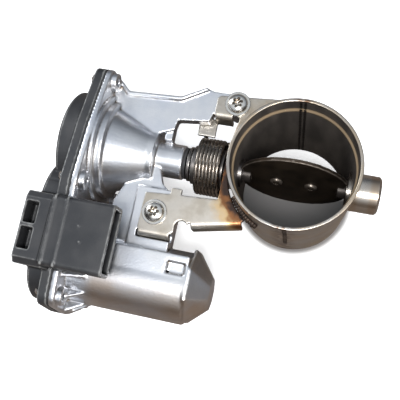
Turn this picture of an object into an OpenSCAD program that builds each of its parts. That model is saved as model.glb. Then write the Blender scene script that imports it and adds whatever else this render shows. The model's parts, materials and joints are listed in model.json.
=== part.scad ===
// Motor-driven exhaust throttle: a flap in a welded steel tube, turned by a geared
// electric actuator.  Millimetres.  The origin is the centre of the tube's mouth, in the
// plane of its rim.  +Z runs out of the mouth, +X runs along the flap's shaft from the
// actuator to the bearing cap, and the motor lies on the -Y side.

/* [Valve tube] */
// Outer diameter of the tube below its mouth
tube_od = 58.4; // [52:0.2:64]
// Wall of the tube
tube_wall = 1.6; // [1.2:0.1:2]
// How much wider the mouth socket is than the tube
mouth_step = 1.6; // [1:0.1:2.4]
// Depth of the mouth socket
mouth_depth = 9.6; // [8:0.1:9.8]
// Distance from the rim down to the flap's shaft
rim_to_shaft = 37; // [33:0.5:44]
// Distance from the flap's shaft down to the tube's lower end
shaft_to_outlet = 39; // [33:0.5:46]
// Length of the narrowed outlet end
spigot_len = 26; // [20:0.5:28]
// How much smaller the outlet end's radius is
spigot_cut = 0.5; // [0.3:0.05:0.6]
// Width of the weld bead on the seams
seam_w = 2.4; // [1.5:0.1:3.5]
// Height of the weld bead on the seams
seam_h = 0.2; // [0.1:0.05:0.25]

/* [Flap and shaft] */
// Diameter of the valve shaft
shaft_d = 8; // [6:0.5:10]
// Thickness of the flap plate
flap_t = 2; // [1.5:0.1:2.5]
// Gap between the flap and the tube when closed
flap_gap = 0.4; // [0.3:0.05:0.8]
// How far the flap leans out of the tube's direction when it is open
open_lean = 8; // [0:1:12]
// Distance between the two flap screws
flap_screw_pitch = 17; // [13:0.5:20]
// Diameter of the bearing cap
cap_d = 18.8; // [16:0.2:20]
// Distance from the tube's axis to the cap's outer end
cap_reach = 41.3; // [39:0.1:46]

/* [Coupling spring] */
// Outer diameter of the spring
spring_od = 29; // [26:0.2:30]
// Diameter of its wire
spring_wire = 2.3; // [1.8:0.1:2.6]
// Number of turns
spring_turns = 7; // [5:1:7]
// Radius of the driven hub inside the spring
hub_r = 9.8; // [8:0.1:10]

/* [Bracket] */
// Thickness of the bracket's sheet
sheet_t = 2; // [1.5:0.1:2.5]
// Height of the sheet's upper face over the shaft's axis
bracket_top = 12; // [10:0.2:14]
// Depth of its turned-down edges
flange_depth = 11; // [8:0.5:12]
// Thread diameter of the two bracket screws
bracket_screw_d = 6; // [5:0.5:6.5]

/* [Actuator housing] */
// Diameter of the motor
motor_d = 30; // [27:0.5:30]
// Length of the motor
motor_len = 49; // [42:0.5:50]
// Wall of the casting round the motor
can_wall = 2.4; // [2:0.1:3]
// Radius of the housing's flange round the output shaft
flange_r = 28.3; // [28:0.1:30]
// Radius of the housing's flange round the motor
flange_motor_r = 24.6; // [23.6:0.1:26]
// Thickness of the housing's flange
flange_t = 2.8; // [2.4:0.1:4]
// Distance from the tube's axis to the housing's sealing face
seal_x = 100.4; // [100.4:0.1:108]
// Diameter of the nose that carries the output shaft
nose_d = 17.6; // [15.6:0.1:18]

/* [Gear cover] */
// Thickness of the gasket
gasket_t = 0.8; // [0.5:0.1:1.5]
// Thickness of the cover's flange
cover_flange_t = 4.8; // [4:0.1:6]
// Wall of the cover
cover_wall = 2.2; // [1.8:0.1:2.4]
// Wall of its gear hump
hump_wall = 1.8; // [1.4:0.1:2]
// Width of the plug socket
plug_w = 33; // [30:0.5:34]
// Height of the plug socket
plug_h = 13; // [12:0.5:14]
// Length of the plug socket in front of the sealing face
plug_reach = 26.4; // [22:0.2:30]
// Number of contacts in the plug socket
pin_count = 5; // [4:1:6]

/* [Gears] */
// Module of the motor's gear pair
fast_module = 0.8; // [0.75:0.01:0.82]
// Teeth of the motor's pinion
pinion_teeth = 14; // [12:1:15]
// Teeth of the large idler gear
idler_big_teeth = 54; // [50:1:54]
// Module of the output gear pair
slow_module = 1; // [0.95:0.01:1.02]
// Teeth of the small idler gear
idler_small_teeth = 22; // [18:1:22]
// Teeth on the full circle of the output gear
sector_teeth = 47; // [43:1:47]

/* [Fits] */
// Radial clearance of a shaft in its bush
run_gap = 0.04; // [0.02:0.01:0.08]
// Clearance between parts that move past each other
move_gap = 0.5; // [0.4:0.05:1]

/* [Hidden] */
$fn = 72;
eps = 0.01;
bite = 0.5;

// Tube radii, and heights measured from the shaft's axis
tube_r = tube_od / 2;
bore_r = tube_r - tube_wall;
mouth_r = tube_r + mouth_step / 2;
socket_r = bore_r + mouth_step / 2;
step_top = rim_to_shaft - mouth_depth;
step_h = 1;
spigot_top = spigot_len - shaft_to_outlet;

// Shaft line: places along X, measured from the tube's axis
shaft_r = shaft_d / 2;
bush_bore_r = shaft_r + run_gap;
bush_r = shaft_r + 3;
cap_r = cap_d / 2;
cap_wall = 2.6;
bush_inside = 2.2;
bush_end = bore_r - bush_inside;
flat_end = bush_end - 4;
flap_r = bore_r - flap_gap;
shaft_left = -(tube_r + 22);
shaft_right = cap_reach - cap_wall - move_gap;
spring_r = spring_od / 2;
spring_mid_r = spring_r - spring_wire / 2;
spring_right = -(tube_r + 5.2);
spring_left = shaft_left + 2.4;
stop_y = 23;

// Output side: places along X
nose_r = nose_d / 2;
nose_end = shaft_left - 4.2;
nose_start = nose_end - 14.2;
collar_start = nose_start - 3.4;
cone_start = -seal_x + 8;
drive_disc_x = shaft_left - 2;
drive_disc_t = 1.5;
output_r = 4;
output_left = -seal_x - 9.6;

// Flange stack: X grows more negative from the housing towards the cover
flange_front = -seal_x + flange_t;
gasket_face = -seal_x - gasket_t;
cover_step = gasket_face - cover_flange_t;
drum_face = cover_step - 8.4;
gearbox_face = cover_step - 10.6;
drum_r = flange_r - 0.9;
chamber_wall = 3.3;
chamber_floor = -seal_x + 1.2;
boss_r = 4.2;

// Gears
idler_offset = slow_module * (sector_teeth + idler_small_teeth) / 2;
motor_offset = idler_offset + fast_module * (idler_big_teeth + pinion_teeth) / 2;
pressure_angle = 20;
backlash = 0.86;
sector_x = -seal_x - 7;
sector_t = 5;
idler_big_x = -seal_x - 12.2;
idler_big_t = 3;
idler_small_t = 8;
pinion_x = -seal_x - 13;
pinion_t = 5;

// Motor
motor_r = motor_d / 2;
motor_gap = 0.3;
can_r = motor_r + motor_gap + can_wall;
can_end = -40;
cap_end = -28.8;
shoulder_top = can_r - 0.3;
rib_t = 1.8;
rib_end = -86.5;
shoulder_y = -motor_offset + 14.2;
motor_front = chamber_floor;
motor_back = motor_front + motor_len;
washer_t = 1.6;
plate_t = 1.6;
plate_screw_z = 18;
plate_screw_r = 1.25;
motor_shaft_r = 2;
hump_r = fast_module * (idler_big_teeth + 1.8) / 2 + 0.6 + hump_wall;
hump_end_r = 20;
idler_pin_r = 2.5;

// Screws
cover_screw_r = 1.9;
cover_head_r = 3.4;
cover_head_h = 2.6;
head_gap = 0.3;
ear_r = 6;
EARS = [[31.5, 15], [31.5, -15], [-22.5, 25.6], [-22.5, -25.6], [-77.5, 18.5], [-77.5, -18.5]];
bracket_screw_r = bracket_screw_d / 2;
BRACKET_SCREWS = [[-33.4, 31], [-62.6, -29.2]];
ring_gap = 2.4;
ring_r = tube_r + ring_gap;
arm_top = bracket_top - sheet_t;
arm_t = 6;
boss_t = 11;

// ---- Helpers ---------------------------------------------------------------

// Moves the shaft's axis to its depth below the rim
module on_shaft() { translate([0, 0, -rim_to_shaft]) children(); }

// A flat outline in (Y, Z), thickened from x0 to x1
module along_x(x0, x1) {
    translate([x0, 0, 0]) rotate([90, 0, 90]) linear_extrude(x1 - x0) children();
}

// A cylinder or cone along X from x0 to x1
module rod_x(x0, x1, r, r2 = -1, y = 0, z = 0) {
    translate([x0, y, z]) rotate([0, 90, 0]) cylinder(h = x1 - x0, r1 = r, r2 = r2 < 0 ? r : r2);
}

// A tube along X
module pipe_x(x0, x1, r_out, r_in, y = 0, z = 0) {
    difference() {
        rod_x(x0, x1, r_out, y = y, z = z);
        rod_x(x0 - 1, x1 + 1, r_in, y = y, z = z);
    }
}

// A box between two corners
module block(low, high) { translate(low) cube(high - low); }

// Points of an arc round a centre, from angle a to angle b
function arc(centre, r, a, b, steps) =
    [for (i = [0 : steps]) let (t = a + (b - a) * i / steps) centre + r * [cos(t), sin(t)]];

// Outline of a belt round two circles, the first at 0 and the second at [-d, 0]
module belt(r1, r2, d) {
    lean = 90 + asin((r1 - r2) / d);
    polygon(concat(arc([0, 0], r1, -lean, lean, 48), arc([-d, 0], r2, lean, 360 - lean, 36)));
}

// Outline of the sealing flange, drawn tight round both circles and the screw ears
module flange_outline() hull() {
    circle(flange_r);
    translate([-motor_offset, 0]) circle(flange_motor_r);
    for (ear = EARS) translate(ear) circle(ear_r);
}

// Outline of the gear chamber inside the flange
module chamber_outline() {
    difference() {
        belt(flange_r - chamber_wall, flange_motor_r - chamber_wall, motor_offset);
        for (ear = EARS) translate(ear) circle(boss_r);
    }
}

// Involute of a circle, in degrees, at a pressure angle
function involute(a) = tan(a) * 180 / PI - a;

// Half of a tooth's width, in degrees, at radius r
function half_tooth(r, pitch, teeth) =
    90 / teeth * backlash + involute(pressure_angle)
    - involute(acos(min(1, pitch * cos(pressure_angle) / r)));

// Outline of a gear.  One tooth points at angle phase; only teeth first to last are cut.
module gear_outline(m, teeth, phase, first = 0, last = -1) {
    pitch = m * teeth / 2;
    root = pitch - 1.2 * m;
    tip = pitch + 0.9 * m;
    end = last < 0 ? teeth - 1 : last;
    radii = [root - 0.3, root + 0.12 * m, (root + pitch) / 2, pitch, (pitch + tip) / 2, tip];
    flank = [for (r = radii) [r, half_tooth(max(r, root), pitch, teeth)]];
    count = len(flank);
    circle(root);
    for (i = [first : end])
        rotate(phase + i * 360 / teeth)
            polygon([for (k = [0 : count - 1]) flank[k][0] * [cos(flank[k][1]), -sin(flank[k][1])],
                for (k = [count - 1 : -1 : 0]) flank[k][0] * [cos(flank[k][1]), sin(flank[k][1])]]);
}

// Round wire wound round the X axis between two radii of wire and coil
module coil(x0, x1, mid_r, wire, turns, sides, steps_per_turn, start) {
    rings = turns * steps_per_turn;
    pitch = (x1 - x0 - wire) / turns;
    points = [for (i = [0 : rings], s = [0 : sides - 1])
        let (a = start + i * 360 / steps_per_turn, b = s * 360 / sides,
            r = mid_r + wire / 2 * cos(b))
        [x0 + wire / 2 + pitch * i / steps_per_turn + wire / 2 * sin(b), r * cos(a), r * sin(a)]];
    skin = [for (i = [0 : rings - 1], s = [0 : sides - 1])
        let (n = (s + 1) % sides, p = i * sides, q = (i + 1) * sides)
        [p + s, p + n, q + n, q + s]];
    first_end = [for (s = [sides - 1 : -1 : 0]) s];
    last_end = [for (s = [0 : sides - 1]) rings * sides + s];
    polyhedron(points, concat([first_end], skin, [last_end]), 10);
}

// ---- Valve tube ------------------------------------------------------------

// Wall of the tube in (R, Z), with the widened mouth; grown adds to the outside only
module tube_profile(inside, outside) {
    polygon([[bore_r - inside, -shaft_to_outlet], [tube_r - spigot_cut, -shaft_to_outlet],
        [tube_r - spigot_cut, spigot_top - spigot_cut], [tube_r + outside, spigot_top],
        [tube_r + outside, step_top - step_h], [mouth_r + outside, step_top],
        [mouth_r + outside, rim_to_shaft], [socket_r - inside, rim_to_shaft],
        [socket_r - inside, step_top], [bore_r - inside, step_top - step_h]]);
}

// One half of the tube; side is -1 for the actuator's half and 1 for the cap's half
module tube_shell(side, hole_r) {
    on_shaft() difference() {
        rotate([0, 0, side > 0 ? -90 : 90]) rotate_extrude(angle = 180) tube_profile(0, 0);
        rod_x(side > 0 ? 0 : -tube_r - 10, side > 0 ? tube_r + 10 : 0, hole_r);
    }
}

module tube_shell_left() color("lightgray") tube_shell(-1, bush_r);

module tube_shell_right() color("lightgray") tube_shell(1, bush_r);

// Outer weld beads where the two halves meet
module seam_welds() color("peru") on_shaft()
    intersection() {
        difference() {
            rotate_extrude() tube_profile(0, seam_h);
            translate([0, 0, -eps]) rotate_extrude() intersection() {
                translate([0, -shaft_to_outlet - 1]) square([mouth_r + 2, shaft_to_outlet + rim_to_shaft + 2]);
                union() {
                    translate([0, -shaft_to_outlet - 1])
                        square([tube_r, shaft_to_outlet + 1 + step_top - step_h]);
                    translate([0, step_top - step_h])
                        polygon([[0, 0], [tube_r, 0], [mouth_r, step_h],
                            [mouth_r, mouth_depth + 2], [0, mouth_depth + 2]]);
                }
            }
        }
        block([-seam_w / 2, -mouth_r - 2, spigot_top], [seam_w / 2, mouth_r + 2, rim_to_shaft]);
    }

// ---- Flap and its shaft ----------------------------------------------------

// Turns the flap's parts to their rest pose
module leaning() { rotate([-open_lean, 0, 0]) children(); }

module shaft_bush() color("gray") on_shaft() difference() {
    union() {
        rod_x(spring_right + 0.2, -bush_end, bush_r);
        rod_x(-tube_r - 3.2, -tube_r + 3, bush_r + 2);
    }
    rod_x(-tube_r - 9, 0, bush_bore_r);
    difference() {
        translate([0, 0, -20]) cylinder(h = 40, r = tube_r);
        rod_x(-tube_r - 1, 0, bush_r);
    }
}

module bearing_cap() color("silver") on_shaft() difference() {
    union() {
        rod_x(bush_end, tube_r + 2, bush_r);
        rod_x(tube_r - 3, cap_reach - 1, cap_r);
        rod_x(cap_reach - 1, cap_reach, cap_r, cap_r - 1);
    }
    rod_x(0, cap_reach - cap_wall, bush_r - 1);
    difference() {
        translate([0, 0, -20]) cylinder(h = 40, r = tube_r);
        rod_x(0, tube_r + 1, bush_r);
    }
}

module cap_bush() color("darkgray") on_shaft()
    pipe_x(bush_end + 0.6, cap_reach - cap_wall - 0.4, bush_r - 1, bush_bore_r);

module valve_shaft() color("silver") on_shaft() leaning() difference() {
    rod_x(shaft_left, shaft_right, shaft_r);
    block([-flat_end, -shaft_r - 1, -shaft_r - 1], [flat_end, flap_t / 2, shaft_r + 1]);
    for (side = [-1, 1]) translate([side * flap_screw_pitch / 2, 0, 0])
        rotate([-90, 0, 0]) cylinder(h = shaft_r + 1, r = 1.5);
}

module flap_plate() color("dimgray") on_shaft() leaning() difference() {
    translate([0, flap_t / 2, 0]) rotate([90, 0, 0]) cylinder(h = flap_t, r = flap_r);
    for (side = [-1, 1]) {
        block([side > 0 ? flat_end : -bore_r - 1, -flap_t, -shaft_r - move_gap],
            [side > 0 ? bore_r + 1 : -flat_end, flap_t, shaft_r + move_gap]);
        block([side > 0 ? bush_end - move_gap : -bore_r - 1, -flap_t, -bush_r - move_gap],
            [side > 0 ? bore_r + 1 : -bush_end + move_gap, flap_t, bush_r + move_gap]);
        translate([side * flap_screw_pitch / 2, flap_t, 0]) rotate([90, 0, 0])
            cylinder(h = 2 * flap_t, r = 1.5);
    }
}

module flap_screws() color("gray") on_shaft() leaning()
    for (side = [-1, 1]) translate([side * flap_screw_pitch / 2, 0, 0]) rotate([90, 0, 0]) {
        translate([0, 0, -shaft_r + 1]) cylinder(h = shaft_r - 1 + flap_t / 2, r = 1.5);
        difference() {
            translate([0, 0, flap_t / 2]) cylinder(h = 2, r1 = 3.2, r2 = 2.4);
            translate([0, 0, flap_t / 2 + 1]) cylinder(h = 2, r = 1.2, $fn = 6);
        }
    }

// Hub that the spring presses towards the tube, fixed on the valve shaft
module driven_hub() color("gray") on_shaft() leaning() difference() {
    union() {
        rod_x(shaft_left + 0.3, spring_right - 0.4, hub_r);
        block([shaft_left - 1.4, -3, -7], [shaft_left + 0.3, 3, 7]);
    }
    rod_x(shaft_left, shaft_left + 20, shaft_r);
}

// Torsion spring: one leg goes out under the bracket's stop, the other in to the hub
module coupling_spring() color("dimgray") on_shaft() {
    coil(spring_left, spring_right, spring_mid_r, spring_wire, spring_turns, 8, 24, 0);
    translate([spring_left + spring_wire / 2, spring_mid_r, 0]) rotate([-90, 0, 0])
        cylinder(h = stop_y - spring_mid_r, r = spring_wire / 2);
    translate([spring_right - spring_wire / 2, hub_r + move_gap, 0]) rotate([-90, 0, 0])
        cylinder(h = spring_mid_r - hub_r - move_gap, r = spring_wire / 2);
}

// ---- Bracket ---------------------------------------------------------------

// Sheet of the bracket seen along -Z
module bracket_outline() {
    difference() {
        polygon(concat(INNER_EDGE, [[-31, 24], [-ring_r - 2, 10], [-ring_r - 2, -17.5],
            [-52, -18.6], [-69.4, -20]], OUTER_EDGE, MIDDLE_EDGE,
            [[-18, -24], [-20, -18], [0, 0], [2, 30], [2, 38], [-42.5, 34.4], [-44, 33]]));
        circle(ring_r);
        translate([-48.6, -34]) circle(3.1);
        translate([-51.6, -44]) square([6, 10]);
        for (at = BRACKET_SCREWS) translate(at) circle(bracket_screw_r + 0.3);
    }
}

// Profile of a turned-down edge: it laps the sheet by bend_lap and ends at the given depth
bend_r = 3;
bend_lap = 1;
edge_inset = 0.6;
outer_depth = flange_depth - 4;
part_gap = 0.4;
INNER_EDGE = [[-44, 25.5], [-34.2, 25.5]];
MIDDLE_EDGE = [[-45, -31.4], [-19.8, -26]];
OUTER_EDGE = [[-69.8, -38.6], [-53, -38.4]];
module edge_profile(depth) {
    middle = [0, -bend_r];
    polygon(concat([[bend_lap, -sheet_t], [bend_lap, 0]], arc(middle, bend_r, 90, 180, 8),
        [[-bend_r, -depth], [sheet_t - bend_r, -depth]], arc(middle, bend_r - sheet_t, 180, 90, 8)));
}

// Turned-down edge between two corners of the sheet, which lies on the left of the way
module turned_edge(ends, depth) {
    way = ends[1] - ends[0];
    translate([ends[0][0], ends[0][1], bracket_top]) rotate([0, 0, atan2(way[1], way[0])])
        translate([edge_inset, 0, 0]) rotate([90, 0, 90])
            linear_extrude(norm(way) - 2 * edge_inset) edge_profile(depth);
}

module bracket() color("tan") on_shaft() difference() {
    union() {
        translate([0, 0, bracket_top - sheet_t]) linear_extrude(sheet_t) bracket_outline();
        turned_edge(INNER_EDGE, flange_depth);
        turned_edge(MIDDLE_EDGE, flange_depth - 2);
        turned_edge(OUTER_EDGE, outer_depth);
        // Stop that the spring's leg rests on
        block([-52, 15, spring_wire / 2], [-42.8, 24.5, spring_wire / 2 + sheet_t]);
        // Lug at the lower arm's inner edge
        block([-57, -19.5, bracket_top - sheet_t], [-51.5, -15.6, bracket_top]);
    }
    translate([0, 0, bracket_top - 20]) cylinder(h = 30, r = ring_r);
}

module bracket_weld() color("saddlebrown") on_shaft()
    for (sweep = [[94, 48], [212, 30]]) rotate([0, 0, sweep[0]])
        rotate_extrude(angle = sweep[1])
            polygon([[tube_r, bracket_top - sheet_t - 1.5], [ring_r, bracket_top - sheet_t - 0.5],
                [ring_r, bracket_top], [ring_r - 1, bracket_top + 1], [tube_r, bracket_top + 1.6]]);

module bracket_screws() color("silver") on_shaft()
    for (at = BRACKET_SCREWS) translate([at[0], at[1], bracket_top]) {
        translate([0, 0, -12]) cylinder(h = 12, r = bracket_screw_r);
        difference() {
            union() {
                cylinder(h = 1, r = bracket_screw_r * 2.05);
                translate([0, 0, 1]) cylinder(h = 1.2, r = bracket_screw_r * 1.65);
                translate([0, 0, 2.2]) cylinder(h = 1, r1 = bracket_screw_r * 1.65, r2 = bracket_screw_r * 1.2);
            }
            translate([0, 0, 0.8]) linear_extrude(4) for (i = [0 : 5]) rotate(i * 60) {
                circle(1.9);
                translate([1.9, 0]) circle(0.8);
            }
        }
    }

// ---- Actuator housing ------------------------------------------------------

// Upper arm of the casting, seen along -Z
module upper_arm_outline() polygon([[-98, 10], [-98, 36], [-95, 35], [-89.4, 29.8], [-62.2, 31.2],
    [-50.1, 37.8], [-47, 36.6], [-43, 36.4], [-30, 37], [-26.8, 33], [-27.6, 27], [-34, 25.2],
    [-44.6, 25.2], [-46, 20.6], [-61.6, 19], [-62.4, 13.6], [-67, 12], [-75, 8]]);

// Lower arm of the casting with its screw boss, seen along -Z
module lower_arm_outline() polygon([[-75, -4], [-66, -6], [-63, -13.6], [-59, -17], [-53, -17],
    [-52.6, -45], [-75, -49], [-86, -49], [-86, -26], [-80, -12]]);

// One rib between the flange and the root of the motor can
module can_rib() translate([0, rib_t / 2, 0]) rotate([90, 0, 0]) linear_extrude(rib_t)
    polygon([[flange_front - bite, can_r - 1], [flange_front - bite, flange_motor_r - 1],
        [flange_front + 1, flange_motor_r - 1], [rib_end, can_r - 0.2], [rib_end, can_r - 1]]);

module housing_outside() {
    along_x(-seal_x, flange_front) flange_outline();
    // Drum side: base ring, step, cone, collar and nose
    rod_x(flange_front - bite, -95.8, drum_r + 0.2);
    rod_x(flange_front - bite, cone_start, 24.6);
    rod_x(cone_start - bite, collar_start, 22, 14.2);
    rod_x(collar_start, nose_start, 14.2);
    rod_x(nose_start, nose_end - 0.6, nose_r);
    rod_x(nose_end - 0.6, nose_end, nose_r, nose_r - 0.6);
    // Arms
    translate([0, 0, arm_top - arm_t]) linear_extrude(arm_t) upper_arm_outline();
    translate([0, 0, arm_top - boss_t]) linear_extrude(boss_t) hull() {
        translate(BRACKET_SCREWS[0]) circle(5.6, $fn = 48);
        translate(BRACKET_SCREWS[0] + [-5, 2]) circle(3, $fn = 48);
    }
    translate([0, 0, 3]) linear_extrude(arm_top - 5 - 3 + 2) lower_arm_outline();
    block([-74.2, -47, -3], [-53, -17, arm_top]);
    // Rib on the upper arm's outer edge
    translate([0, 0, arm_top - 1]) linear_extrude(2.4)
        polygon([[-95, 35], [-89.4, 29.8], [-62.2, 31.2], [-50.1, 37.8], [-49.4, 36.4],
            [-61.8, 29.2], [-89.8, 27.8], [-95, 33]]);
    // Small web between the collar and the upper arm
    block([-66.6, 8, 2], [-62.6, 15, 9]);
    // Motor can with its flat shoulder and faceted end
    for (turn = [15 : 30 : 345]) translate([0, -motor_offset, 0]) rotate([turn, 0, 0]) can_rib();
    rod_x(flange_front - bite, can_end, can_r, y = -motor_offset);
    block([flange_front - bite, -motor_offset, 0], [can_end, shoulder_y, shoulder_top]);
    hull() {
        along_x(can_end, can_end + 1.4) translate([-60.4, 0]) rotate(22.5) circle(19.2, $fn = 8);
        along_x(cap_end - 0.5, cap_end) translate([-62.2, 0]) rotate(22.5) circle(7.8, $fn = 8);
    }
    // Ear bosses
    for (ear = EARS) rod_x(flange_front - bite, flange_front + 3, 4.6, y = ear[0], z = ear[1]);
}

module housing_inside() {
    along_x(-seal_x - 1, chamber_floor) chamber_outline();
    rod_x(-seal_x - 1, -93.4, 21.6);
    rod_x(-94, -86, 14);
    rod_x(-88, -79, 11);
    rod_x(-80, -75, 8);
    rod_x(-80, nose_end - 1, 4.6);
    rod_x(-66, nose_end + 1, 6);
    rod_x(-seal_x - 1, motor_back + washer_t, motor_r + motor_gap, y = -motor_offset);
    for (ear = EARS) rod_x(-seal_x - 1, flange_front + 4, cover_screw_r, y = ear[0], z = ear[1]);
    rod_x(-seal_x - 1, -90, idler_pin_r, y = -idler_offset);
    for (at = BRACKET_SCREWS) translate([at[0], at[1], bracket_top - 12]) cylinder(h = 14, r = bracket_screw_r);
    // Pocket in the shoulder
    block([-50.4, -57, shoulder_top - 3], [-41.4, -51, shoulder_top + 1]);
    // Room for the plug socket and for the bracket's turned-down outer edge
    along_x(-seal_x - 1, flange_front + 1) plug_room();
    block([OUTER_EDGE[0][0] - part_gap, OUTER_EDGE[0][1] - bend_r - part_gap,
        bracket_top - outer_depth - part_gap], [OUTER_EDGE[1][0] + 2, OUTER_EDGE[0][1] + part_gap, arm_top + 1]);
    for (side = [-1, 1])
        rod_x(-seal_x - 1, -92, plate_screw_r, y = -motor_offset, z = side * plate_screw_z);
}

module gear_housing() color("gainsboro") on_shaft() difference() {
    union() {
        housing_outside();
        rod_x(flange_front - bite, -89, 5, y = -idler_offset);
    }
    housing_inside();
}

module nose_ring() color("black") on_shaft()
    pipe_x(nose_end, nose_end + 1.4, nose_r - 0.8, output_r + run_gap);

module needle_bearing() color("silver") on_shaft() pipe_x(-66, -56.4, 6, output_r + run_gap);

module ball_bearing() color("silver") on_shaft() difference() {
    pipe_x(-86, -79, 11, output_r + run_gap);
    pipe_x(-87, -85.2, 8.6, 6.4);
}

module shaft_seal() color("black") on_shaft() pipe_x(-79, -75.4, 8, output_r + run_gap);

module output_shaft() color("silver") on_shaft() {
    rod_x(output_left, drive_disc_x, output_r);
    rod_x(-101.9, -87, 6);
}

module drive_disc() color("gray") on_shaft() difference() {
    rod_x(drive_disc_x, drive_disc_x + drive_disc_t, 8.8);
    rotate([-open_lean, 0, 0]) block([-60, -3.3, -7.3], [-40, 3.3, 7.3]);
}

module sector_gear() color("ivory") on_shaft() difference() {
    union() {
        along_x(sector_x, sector_x + sector_t) intersection() {
            gear_outline(slow_module, sector_teeth, 180, -3, 14);
            union() {
                circle(15);
                rotate(150) square(40);
                rotate(200) square(40);
            }
        }
        rod_x(sector_x - 1.4, -102.2, 9);
    }
    rod_x(-120, -90, output_r);
}

module return_spring() color("gray") on_shaft() coil(-101.6, -93.8, 19, 1.8, 3, 8, 20, 0);

module sensor_magnet() color("darkslategray") on_shaft()
    pipe_x(sector_x - 3.2, sector_x - 1.4, 8, output_r);

module sensor_board() color("seagreen") on_shaft()
    block([drum_face + cover_wall, -10, -11], [drum_face + cover_wall + 1.1, 15, 11]);

module idler_gear() color("ivory") on_shaft() difference() {
    translate([0, -idler_offset, 0]) union() {
        along_x(idler_big_x, idler_big_x + idler_big_t)
            gear_outline(fast_module, idler_big_teeth, 180);
        along_x(idler_big_x + idler_big_t, idler_big_x + idler_big_t + idler_small_t)
            gear_outline(slow_module, idler_small_teeth, 180 / idler_small_teeth);
    }
    rod_x(-120, -90, idler_pin_r + run_gap, y = -idler_offset);
}

module idler_pin() color("silver") on_shaft()
    rod_x(gearbox_face + 1, -90, idler_pin_r, y = -idler_offset);

module drive_motor() color("silver") on_shaft() translate([0, -motor_offset, 0]) difference() {
    union() {
        rod_x(motor_front, motor_back, motor_r);
        rod_x(motor_front - 1, motor_front + 1, 6);
    }
    rod_x(-seal_x - 1, motor_back - 3, motor_shaft_r + run_gap);
    rod_x(motor_front + 4, motor_back - 4, motor_r - 2.6);
}

module motor_plate() color("gray") on_shaft() translate([0, -motor_offset, 0])
    along_x(motor_front - plate_t, motor_front) difference() {
        union() {
            circle(14.6);
            for (side = [-1, 1]) {
                translate([0, side * (plate_screw_z - 4)]) circle(5.6);
                translate([-5.6, side > 0 ? 0 : 4 - plate_screw_z]) square([11.2, plate_screw_z - 4]);
            }
        }
        circle(6.4);
        for (side = [-1, 1]) translate([0, side * plate_screw_z]) circle(plate_screw_r);
    }

module motor_plate_screws() color("silver") on_shaft()
    for (side = [-1, 1]) translate([0, -motor_offset, side * plate_screw_z]) {
        rod_x(motor_front - plate_t, -92.4, plate_screw_r);
        rod_x(motor_front - plate_t - 1.4, motor_front - plate_t, 2.2);
    }

module motor_wave_washer() color("silver") on_shaft()
    pipe_x(motor_back, motor_back + washer_t, 12, 8, y = -motor_offset);

module motor_shaft() color("silver") on_shaft() translate([0, -motor_offset, 0]) {
    rod_x(pinion_x, motor_back - 3.4, motor_shaft_r);
    rod_x(motor_front + 7, motor_back - 12, motor_r - 3.2);
}

module motor_pinion() color("goldenrod") on_shaft() translate([0, -motor_offset, 0])
    difference() {
        along_x(pinion_x + 0.4, pinion_x + 0.4 + pinion_t)
            gear_outline(fast_module, pinion_teeth, 180 / pinion_teeth);
        rod_x(-120, -90, motor_shaft_r);
    }

// ---- Gear cover and gasket -------------------------------------------------

module housing_gasket() color("black") on_shaft() along_x(gasket_face, -seal_x) difference() {
    flange_outline();
    chamber_outline();
    for (ear = EARS) translate(ear) circle(cover_screw_r + 0.3);
    plug_room();
}

// Plug socket's outline in (Y, Z)
plug_top = 38.6;
plug_low_y = -65.8;
module plug_outline(shrink) {
    r = 2.6;
    hull() for (y = [plug_low_y + r, plug_low_y + plug_w - r], z = [plug_top - plug_h + r, plug_top - r])
        translate([y, z]) circle(r - shrink, $fn = 32);
}

// Outline of the hump over the idler gear and the pinion
module hump_outline(shrink) {
    translate([-idler_offset, 0])
        belt(hump_r - shrink, hump_end_r - shrink, motor_offset - idler_offset);
}

module cover_outside() {
    along_x(cover_step, gasket_face) flange_outline();
    rod_x(drum_face + 1.2, cover_step + bite, drum_r);
    rod_x(drum_face, drum_face + 1.2, drum_r - 1.2, drum_r);
    along_x(gearbox_face + 1, cover_step + bite) hump_outline(0);
    along_x(gearbox_face, gearbox_face + 1) hump_outline(1);
    // Block that carries the plug socket
    along_x(-117, -103) polygon([[-31, 22], [-33, 36], [-36, plug_top - 1], [-64, plug_top - 1],
        [-67, 35], [-67, 18], [-60, 10], [-36, 10]]);
    along_x(-104, -seal_x + plug_reach) plug_outline(0);
}

// Outline that the flange and the gasket leave free under the plug socket
module plug_room() translate([plug_low_y - part_gap, plug_top - plug_h - part_gap])
    square([plug_w + 2 * part_gap, plug_h]);

module pin_blades()
    for (i = [0 : pin_count - 1]) {
        y = plug_low_y + plug_w / 2 + (i - (pin_count - 1) / 2) * 5;
        block([-99, y - 0.5, plug_top - 6.9], [-82, y + 0.5, plug_top - 6.1]);
    }

module cover_inside() {
    along_x(cover_step + 1.6, gasket_face + 1) chamber_outline();
    rod_x(drum_face + cover_wall, gasket_face + 1, drum_r - cover_wall);
    along_x(gearbox_face + cover_wall, gasket_face + 1) hump_outline(hump_wall);
    for (ear = EARS) {
        rod_x(cover_step - 1, gasket_face + 1, cover_screw_r + head_gap, y = ear[0], z = ear[1]);
        rod_x(cover_step - 12, cover_step, cover_head_r + head_gap, y = ear[0], z = ear[1]);
    }
    // Mouth of the plug socket
    along_x(-94, -seal_x + plug_reach + 1) plug_outline(1.9);
    pin_blades();
    // Moulding pockets beside the socket
    for (low = [-48, -60]) block([-116, low, 28], [-110, low + 10, plug_top + 1]);
    rod_x(gearbox_face + 1, gearbox_face + 4, idler_pin_r, y = -idler_offset);
}

module gear_cover() color("dimgray") on_shaft() difference() {
    cover_outside();
    cover_inside();
}

module connector_pins() color("goldenrod") on_shaft() pin_blades();

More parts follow.
